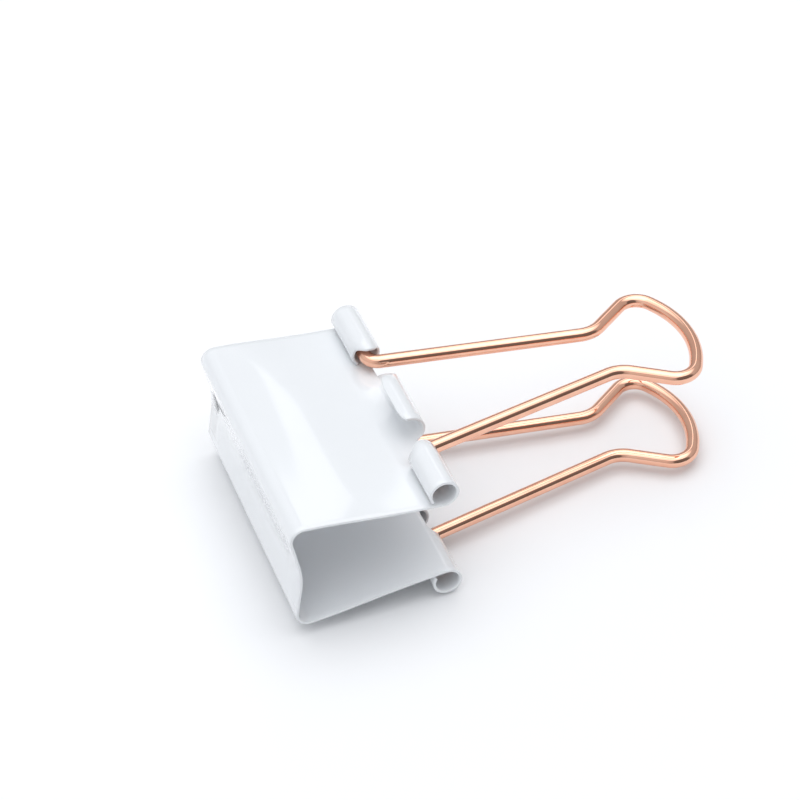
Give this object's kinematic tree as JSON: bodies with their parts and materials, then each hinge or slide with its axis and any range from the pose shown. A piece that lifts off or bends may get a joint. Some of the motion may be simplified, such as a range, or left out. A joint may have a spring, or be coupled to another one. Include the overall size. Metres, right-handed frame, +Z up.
{
  "type": "binder clip",
  "caption": "Binder clip: a folded spring-steel clamp with rolled tubes and a curled lip on each jaw, and wire loop handles that fold over to lever it open.",
  "frame": {"origin": "centre of the clip's bounding box, on the surface that it lies on", "axes": "+Z up, +X from the back panel towards the mouth and the handles' loops, Y across the clip's width"},
  "size_m": [0.0528, 0.032, 0.0168],
  "materials": {
    "white_paint": "gloss white enamel baked on thin spring steel",
    "rose_gold_wire": "bright rose-gold plate on drawn steel wire"
  },
  "bodies": {
    "back": {"back_panel": "white_paint", "upper_bend": "white_paint", "lower_bend": "white_paint"},
    "upper_jaw": {"upper_jaw": "white_paint"},
    "lower_jaw": {"lower_jaw": "white_paint"},
    "upper_handle": {"upper_handle": "rose_gold_wire"},
    "lower_handle": {"lower_handle": "rose_gold_wire"}
  },
  "joints": [
    {"name": "upper_jaw_flex", "type": "hinge", "parent": "back", "child": "upper_jaw", "pos_m": [-0.0248, 0, 0.01364], "axis": [0, -1, 0], "range_deg": [-5, 12], "stiffness_Nm_per_rad": 0.75, "deforming": ["upper_bend"]},
    {"name": "lower_jaw_flex", "type": "hinge", "parent": "back", "child": "lower_jaw", "pos_m": [-0.0248, 0, 0.00314], "axis": [0, 1, 0], "range_deg": [-5, 12], "stiffness_Nm_per_rad": 0.75, "deforming": ["lower_bend"]},
    {"name": "upper_handle_fold", "type": "hinge", "parent": "upper_jaw", "child": "upper_handle", "pos_m": [-0.00927, 0, 0.01475], "axis": [0, -1, 0], "range_deg": [0, 176]},
    {"name": "lower_handle_fold", "type": "hinge", "parent": "lower_jaw", "child": "lower_handle", "pos_m": [-0.00927, 0, 0.00203], "axis": [0, 1, 0], "range_deg": [-3, 172.5]}
  ],
  "couplings": [
    {"joint": "lower_jaw_flex", "follows": "upper_jaw_flex", "ratio": 1}
  ]
}
